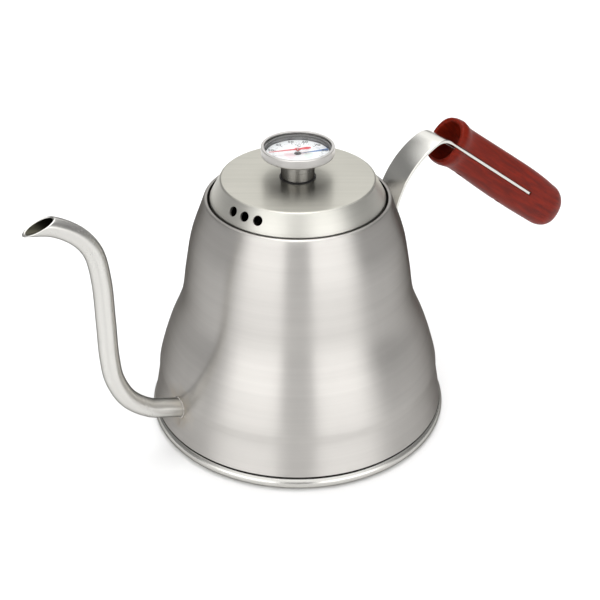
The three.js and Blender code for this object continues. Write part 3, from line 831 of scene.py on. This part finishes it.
def grip_screw(x):
    """A countersunk screw with a cross recess, seen from under the grip."""
    head = -height_at(UNDER_LINE, x) + SCREW_SUNK
    outline = [
        (0, head), (SCREW_HEAD_R - 0.25, head), (SCREW_HEAD_R, head + 0.25),
        (SCREW_HEAD_R, head + 0.6), (1.4, head + 2), (1.4, 7), (0, 7),
    ]
    cross = [block(size, (0, 0, head)) for size in ((2.9, 0.6, 1.8), (0.6, 2.9, 1.8))]
    bm = carve(lathe(outline, 48), cross)
    bm.transform(GRIP_TURN @ Matrix.Translation((x, 0, 0)))
    return bm


# ---- lid ----

PLATE_FACING = 0.85  # faces of the lid that look up this much have the straight grain and a darker tone, painted shade on the lid's top


def lid_cap():
    rim = LEDGE_Z + 0.3
    bore = SHANK_R + 0.3
    outline = softened(
        [
            (LID_R - SHEET, rim, 0.2),
            (LID_R, rim, 0.4),
            (LID_R, LID_CONE_Z, 0.9),
            (LID_PLATE_R + 0.35, LID_Z, 1.5),
            (bore, LID_Z, 0.2),
            (bore, LID_Z - SHEET, 0.2),
            (LID_PLATE_R - 0.4, LID_Z - SHEET, 1.0),
            (LID_R - SHEET, LID_CONE_Z - 0.4, 0.8),
        ],
        8)
    tilt = atan2(LID_R - LID_PLATE_R, LID_Z - LID_CONE_Z)
    vents = []
    for angle in VENTS:
        drill = rod(VENT_R, 8)
        drill.transform(Matrix.Rotation(-(pi / 2 - tilt), 4, "Y"))
        drill.transform(Matrix.Translation((-VENT_FROM_AXIS, 0, VENT_Z)))
        drill.transform(Matrix.Rotation(radians(angle), 4, "Z"))
        vents.append(drill)
    return carve(lathe(outline), vents)


def lid_skirt():
    flange = LEDGE_Z + 0.4
    reach = LID_R - SHEET - 0.3
    return lathe(softened([
        (SKIRT_R - SHEET, SKIRT_Z, 0.4),
        (SKIRT_R, SKIRT_Z, 0.4),
        (SKIRT_R, flange, 0.4),
        (reach, flange, 0.3),
        (reach, flange + SHEET, 0.3),
        (SKIRT_R - SHEET, flange + SHEET, 0.8),
    ]))


def knob_collar():
    return lathe(softened([
        (COLLAR_BORE, SHANK_Z, 0.2),
        (SHANK_R, SHANK_Z, 0.5),
        (SHANK_R, COLLAR_Z, 0),
        (COLLAR_R, COLLAR_Z, 0.35),
        (COLLAR_R, COLLAR_TOP, 0.35),
        (7, COLLAR_TOP, 0.2),
        (7, COLLAR_TOP - 1.8, 0.1),
        (COLLAR_BORE, COLLAR_TOP - 1.8, 0.2),
    ]), KNOB_AROUND)


def collar_seal():
    inner = SHANK_R + 0.3
    low = LID_Z + 0.05
    return lathe(softened([
        (inner, low, 0.05), (SEAL_R, low, 0.15), (SEAL_R, SEAL_TOP, 0.15), (inner, SEAL_TOP, 0.05),
    ]), KNOB_AROUND)


def collar_nut():
    """A hexagon nut with both faces chamfered."""
    hexagon = rod(9.2, 3.6, 6)
    hexagon.transform(Matrix.Translation((0, 0, 126.8)) @ Matrix.Rotation(pi / 6, 4, "Z"))
    chamfer = lathe([(0, 124.9), (7.7, 124.9), (9.6, 126.0), (9.6, 127.6), (7.7, 128.7), (0, 128.7)], 72)
    bore = rod(SHANK_R + 0.3, 12, 72)
    bore.transform(Matrix.Translation((0, 0, 126.8)))
    return carve(carve(hexagon, [chamfer], "INTERSECT"), [bore])


def ring(inner, outer, low, high, edge, around=KNOB_AROUND):
    corners = [(inner, low, edge), (outer, low, edge), (outer, high, edge), (inner, high, edge)]
    return lathe(softened(corners, 3), around)


def stem_sleeve():
    flange = COLLAR_TOP - 1.5
    return lathe(softened([
        (STEM_R + 0.3, SHANK_Z, 0.2),
        (COLLAR_BORE - 0.3, SHANK_Z, 0.4),
        (COLLAR_BORE - 0.3, flange, 0.1),
        (6.7, flange, 0.2),
        (6.7, COLLAR_TOP, 0.3),
        (STEM_R + 0.3, COLLAR_TOP, 0.2),
    ]), KNOB_AROUND)


# ---- thermometer ----

def thermometer_case():
    return lathe(softened([
        (STEM_R + 0.05, CASE_Z, 0),
        (12.2, CASE_Z + 0.15, 3),
        (CASE_R, CASE_Z + 2.2, 1.5),
        (CASE_R, 144.7, 0.1),
        (CASE_R - 0.7, 144.7, 0.1),
        (CASE_R - 0.7, 142.3, 0.2),
        (14.8, 141.8, 0.2),
        (12, 141.1, 0.5),
        (STEM_R + 0.05, 141.1, 0),
    ], 8), KNOB_AROUND)


CASE_INSIDE_Z = 142.6  # above this only the inside of the case shows; the faces below it get the painted shade of the underside


def bezel_ring():
    low = 142.9
    return lathe(softened([
        (CASE_R + 0.15, low, 0.1),
        (BEZEL_R - 0.2, low - 0.1, 0.3),
        (BEZEL_R, low + 0.4, 0.3),
        (BEZEL_R, BEZEL_TOP, 0.45),
        (BEZEL_LIP_R, BEZEL_TOP, 0.25),
        (BEZEL_LIP_R, BEZEL_TOP - 0.5, 0.15),
        (CASE_R + 0.15, BEZEL_TOP - 0.5, 0.1),
    ], 6), 2 * KNOB_AROUND)


def flat_text(text, size, place, turn):
    """Figures as flat ink, centred on a place and turned about Z."""
    curve = bpy.data.curves.new("scratch", "FONT")
    curve.body = text
    curve.size = size
    curve.align_x = "CENTER"
    curve.align_y = "CENTER"
    curve.extrude = 0.012
    curve.offset = 0.06
    piece = bpy.data.objects.new("scratch", curve)
    bpy.context.scene.collection.objects.link(piece)
    bpy.context.view_layer.update()
    mesh = bpy.data.meshes.new_from_object(piece.evaluated_get(bpy.context.evaluated_depsgraph_get()))
    bpy.data.objects.remove(piece)
    mesh.transform(Matrix.Translation(place) @ Matrix.Rotation(turn, 4, "Z"))
    return mesh


DIAL_UP = radians(55)  # azimuth of the top of the print
SCALE_ZERO = 165  # degrees anticlockwise from the top
SCALE_TOP = 100
SCALE_DEGREES = 3  # turn of the needle for each degree of heat


def scale_angle(heat):
    """Azimuth of a temperature on the dial; the scale runs clockwise."""
    return DIAL_UP + radians(SCALE_ZERO - SCALE_DEGREES * heat)


FIGURE_R = 13.3
FIGURE_SIZE = 2.9
TICK_R = 11.9
UNIT_R = 8.7


def dial_print():
    """Ticks every 2 degrees inside a ring of figures every 10."""
    bm = bmesh.new()
    top = DIAL_Z + 0.015
    for heat in range(0, SCALE_TOP + 1, 2):
        long = heat % 10 == 0
        length = 1.5 if long else 0.8
        wide = 0.32 if long else 0.14
        tick = block((length, wide, 0.03), (TICK_R - length / 2, 0, top))
        tick.transform(Matrix.Rotation(scale_angle(heat), 4, "Z"))
        mesh = bpy.data.meshes.new("scratch")
        tick.to_mesh(mesh)
        bm.from_mesh(mesh)
        tick.free()
    up = DIAL_UP - pi / 2
    for heat in range(10, SCALE_TOP + 1, 10):
        angle = scale_angle(heat)
        place = (FIGURE_R * cos(angle), FIGURE_R * sin(angle), top)
        bm.from_mesh(flat_text(str(heat), FIGURE_SIZE, place, up))
    place = (UNIT_R * cos(DIAL_UP), UNIT_R * sin(DIAL_UP), top)
    bm.from_mesh(flat_text("°C", FIGURE_SIZE, place, up))
    return bm


def fan(low_heat, high_heat, inner, outer, lift):
    """A thin flat sector of the dial between two temperatures."""
    steps = 16
    sections = []
    for i in range(steps + 1):
        a = scale_angle(low_heat + (high_heat - low_heat) * i / steps)
        spots = ((inner, 0), (outer, 0), (outer, lift), (inner, lift))
        sections.append([(r * cos(a), r * sin(a), DIAL_Z + 0.002 + z) for r, z in spots])
    return rings_to_mesh(sections)


def needle():
    """A tapering point and a broad tail with a bevelled face, in one piece with its ring."""
    hub = 1.5
    side = [(14, 0.12), (hub, 0.62), *arc(0, 0, hub, 30, 150, 14), (-4.6, 1.3), (-6.4, 0.6)]
    outline = side + [(x, -y) for x, y in side[::-1]]
    bm = bmesh.new()
    rings = []
    for inset, z in ((0.0, 0.0), (0.0, 0.14), (0.06, 0.2)):
        ring_points = []
        for x, y in outline:
            size = max(hypot(x, y), 0.1)
            ring_points.append(bm.verts.new((x * (1 - inset / size), y * (1 - 0.25 * inset / 0.06), z)))
        rings.append(ring_points)
    for low, high in zip(rings, rings[1:]):
        bridge(bm, low, high)
    bm.faces.new(rings[0])
    bm.faces.new(rings[-1])
    eye = rod(SHAFT_R + 0.4, 4, 32)
    bm = carve(bm, [eye])
    bm.transform(Matrix.Translation((0, 0, NEEDLE_Z)) @ Matrix.Rotation(radians(NEEDLE_AT), 4, "Z"))
    return bm


def lens():
    return lathe(softened([(16.4, 145.7, 0.12), (16.4, 146.2, 0.12), (0, 146.2, 0), (0, 145.7, 0)][::-1], 4), 128)


# ---- pieces ----

show("pot_shell_fine", pot_shell(), "kettle", POT_STEEL, ["pot_shell"])
show("bottom_pan_fine", bottom_pan(), "kettle", PAN_STEEL, ["bottom_pan"])
show("sole_fine", sole(), "kettle", LID_STEEL, ["sole"])
tube = show("spout_tube", spout_tube(), "kettle", TUBE_STEEL, ["spout"])
# the tube's inner faces get the painted shade of the bore
tube.data.materials.append(BORE_SHADE_STEEL)
show("spout_weld", weld_bead(), "kettle", WELD_STEEL)
show("handle_strap_fine", handle_strap(), "kettle", STRAP_STEEL, ["handle_strap"])
show("strap_spot_welds", spot_welds(), "kettle", WELD_STEEL)
show("grip_fine", grip(), "kettle", WOOD, ["grip"], sharp=40)
for screw, x in SCREWS.items():
    show(screw + "_fine", grip_screw(x), "kettle", POLISHED, [screw])

cap = show("lid_cap_fine", lid_cap(), "lid", LID_STEEL, ["lid_cap"])
cap.data.materials.append(SHADED_PLATE_STEEL)
# upward faces get the straight grain and the painted shade of the plate
for face in cap.data.polygons:
    if face.normal.z > PLATE_FACING:
        face.material_index = 1
show("lid_skirt_fine", lid_skirt(), "lid", LID_STEEL, ["lid_skirt"])
show("knob_collar_fine", knob_collar(), "lid", COLLAR_STEEL, ["knob_collar"])
show("collar_seal_fine", collar_seal(), "lid", SILICONE, ["collar_seal"])
show("collar_nut_fine", collar_nut(), "lid", POLISHED, ["collar_nut"])
show("nut_washer_fine", ring(6.3, 10, 128.9, 129.6, 0.15), "lid", POLISHED, ["nut_washer"])
show("stem_sleeve_fine", stem_sleeve(), "sleeve", SILICONE, ["stem_sleeve"])

# the case's lower faces carry painted shade; faces higher than CASE_INSIDE_Z get the plain inside tone
case = show("case_fine", thermometer_case(), "thermometer", SHADED_CASE_BACK, ["thermometer_case"])
case.data.materials.append(CASE_INSIDE)
for face in case.data.polygons:
    if face.center.z > CASE_INSIDE_Z * MM:
        face.material_index = 1
show("bezel_fine", bezel_ring(), "thermometer", BEZEL_STEEL, ["bezel_ring"])
show("lens_fine", lens(), "thermometer", GLASS, ["lens"])
show("gasket_fine", ring(15.5, 16.4, 145, 145.4, 0.1), "thermometer", GASKET, ["lens_gasket"])
show("dial_fine", ring(1.2, DIAL_R, DIAL_Z - 0.4, DIAL_Z, 0.08), "thermometer", DIAL_WHITE, ["dial_plate"])
show("dial_figures", dial_print(), "thermometer", INK)
BLUE = plain("zone_blue", (0.03, 0.16, 0.42), 0.5)
PINK = plain("zone_pink", (0.86, 0.76, 0.78), 0.5)
GREEN = plain("zone_green", (0.74, 0.84, 0.80), 0.5)
show("dial_blue_zone", fan(77.5, 80.5, 1.8, 15.2, 0.012), "thermometer", BLUE)
show("dial_pink_zone", fan(2, 26, 2.5, 6.5, 0.010), "thermometer", PINK)
show("dial_green_zone", fan(84, 100, 3.5, 7.5, 0.010), "thermometer", GREEN)
show("dial_eye", ring(0.75, 1.7, DIAL_Z + 0.01, DIAL_Z + 0.16, 0.04), "thermometer", INK)
stem = ring(2.0, STEM_R, 31, 141, 0.1, 64)
show("stem_tube_fine", stem, "thermometer", POLISHED, ["stem_tube"])
dome = arc(0, 28 + STEM_R, STEM_R, -90, 0, 12)
tip = lathe([*dome, (STEM_R, 30.7), (1.7, 30.9), (1.7, 36), (0, 36)], 64)
show("stem_tip_fine", tip, "thermometer", POLISHED, ["stem_tip"])

show("needle_fine", needle(), "needle", NEEDLE_RED, ["needle"])
hub = ring(0.55, 0.85, NEEDLE_Z - 0.7, NEEDLE_Z - 0.02, 0.08, 48)
show("needle_hub_fine", hub, "needle", POLISHED, ["needle_hub"])
shaft = lathe([(0, 37), (SHAFT_R, 37), (SHAFT_R, 145.3), (0.3, 145.45), (0, 145.45)], 32)
show("needle_shaft_fine", shaft, "needle", POLISHED, ["needle_shaft"])

for node, material in (("heat_disc", ALUMINIUM), ("bimetal_coil", BRASS), ("shaft_bush", BRASS)):
    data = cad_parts[node].data
    data.materials.clear()
    data.materials.append(material)


# ---- studio ----

FLOOR_REACH = 60  # metres, past the edge of every view


def floor():
    bm = bmesh.new()
    bmesh.ops.create_grid(bm, x_segments=1, y_segments=1, size=FLOOR_REACH)
    piece = as_object(bm, "studio_floor")
    material, nodes, shader = new_material("studio_floor")
    place = nodes.add("ShaderNodeTexCoord").outputs["Object"]
    faint = nodes.noise(place, 2.0, 2.0)
    base = nodes.mix(faint, rgb(0.90, 0.90, 0.90), rgb(0.93, 0.93, 0.93))
    wire(nodes, shader, Base_Color=base, Roughness=0.6)
    piece.data.materials.append(material)


BAND_TONE = 3.1  # the two lit screens on either side of the camera
SIDE_TONE = 0.22  # the tent further round
HIGH_SIDE_TONE = 0.62
GAP_TONE = 0.15  # the opening for the camera between the screens
BACK_TONE = 1.25
TOP_TONE = 1.4


def studio_light():
    """A soft tent: a lit screen on each side of the camera, a gap between, greyer sides."""
    world = bpy.data.worlds.new("studio")
    bpy.context.scene.world = world
    world.use_nodes = True
    world.node_tree.nodes.clear()
    nodes = Nodes(world.node_tree)
    way = nodes.add("ShaderNodeTexCoord").outputs["Generated"]
    parts = nodes.add("ShaderNodeSeparateXYZ", {0: way}).outputs
    flat = nodes.add("ShaderNodeCombineXYZ", {0: parts[0], 1: parts[1]}).outputs[0]
    level = nodes.add("ShaderNodeVectorMath", {0: flat}, operation="NORMALIZE").outputs[0]
    to_camera = (cos(PHOTO_SIDE), sin(PHOTO_SIDE), 0)
    facing = nodes.add(
        "ShaderNodeVectorMath", {0: level, 1: to_camera}, operation="DOT_PRODUCT").outputs["Value"]
    low = nodes.ramp(parts[2], 0.3, 0.55, 1.0, 0.0)
    side = nodes.ramp(parts[2], 0.15, 0.5, SIDE_TONE, HIGH_SIDE_TONE)
    bright = nodes.ramp(facing, cos(radians(76)), cos(radians(48)), side, BAND_TONE)
    bright = nodes.math("MULTIPLY", bright, nodes.ramp(parts[2], 0.1, 0.55, 1.0, 0.42))
    gap = nodes.ramp(facing, cos(radians(17)), cos(radians(9)))
    gap = nodes.math("MULTIPLY", gap, low)
    front = nodes.add("ShaderNodeMix", {0: gap, 2: bright, 3: GAP_TONE}).outputs[0]
    back = nodes.ramp(facing, cos(radians(145)), cos(radians(168)), 0.0, 1.0)
    back = nodes.math("MULTIPLY", back, nodes.ramp(parts[2], 0.1, 0.4, 0.2, 1.0))
    sides = nodes.add("ShaderNodeMix", {0: back, 2: front, 3: BACK_TONE}).outputs[0]
    high = nodes.ramp(parts[2], 0.6, 0.9)
    value = nodes.add("ShaderNodeMix", {0: high, 2: sides, 3: TOP_TONE}).outputs[0]
    light = nodes.add("ShaderNodeBackground", {"Color": value, "Strength": 1.0}).outputs[0]
    output = nodes.add("ShaderNodeOutputWorld")
    world.node_tree.links.new(light, output.inputs[0])


def area_light(name, place, size, power, target, spread=180):
    data = bpy.data.lights.new(name, "AREA")
    data.shape = "RECTANGLE"
    data.size, data.size_y = size
    data.energy = power
    data.spread = radians(spread)
    lamp = bpy.data.objects.new(name, data)
    bpy.context.scene.collection.objects.link(lamp)
    lamp.location = place
    aim = Vector(target) - Vector(place)
    lamp.rotation_euler = aim.to_track_quat("-Z", "Y").to_euler()


def camera():
    data = bpy.data.cameras.new("camera")
    data.lens = 71.76
    data.sensor_width = 36
    data.shift_x = 0.0038
    data.clip_start = 0.01
    eye = bpy.data.objects.new("camera", data)
    bpy.context.scene.collection.objects.link(eye)
    eye.location = (-0.2958, -0.4224, 0.3854)
    eye.rotation_euler = (radians(90 - 32.17), 0, radians(-35))
    bpy.context.scene.camera = eye


floor()
studio_light()
area_light("overhead", (0.08, 0.12, 0.95), (0.6, 0.6), 0.6, (0.08, 0.12, 0), 75)
area_light("backdrop", (0.55, 0.8, 1.3), (0.9, 0.9), 2.4, (0.6, 0.9, 0), 90)
camera()
bpy.context.scene.view_settings.view_transform = "Standard"
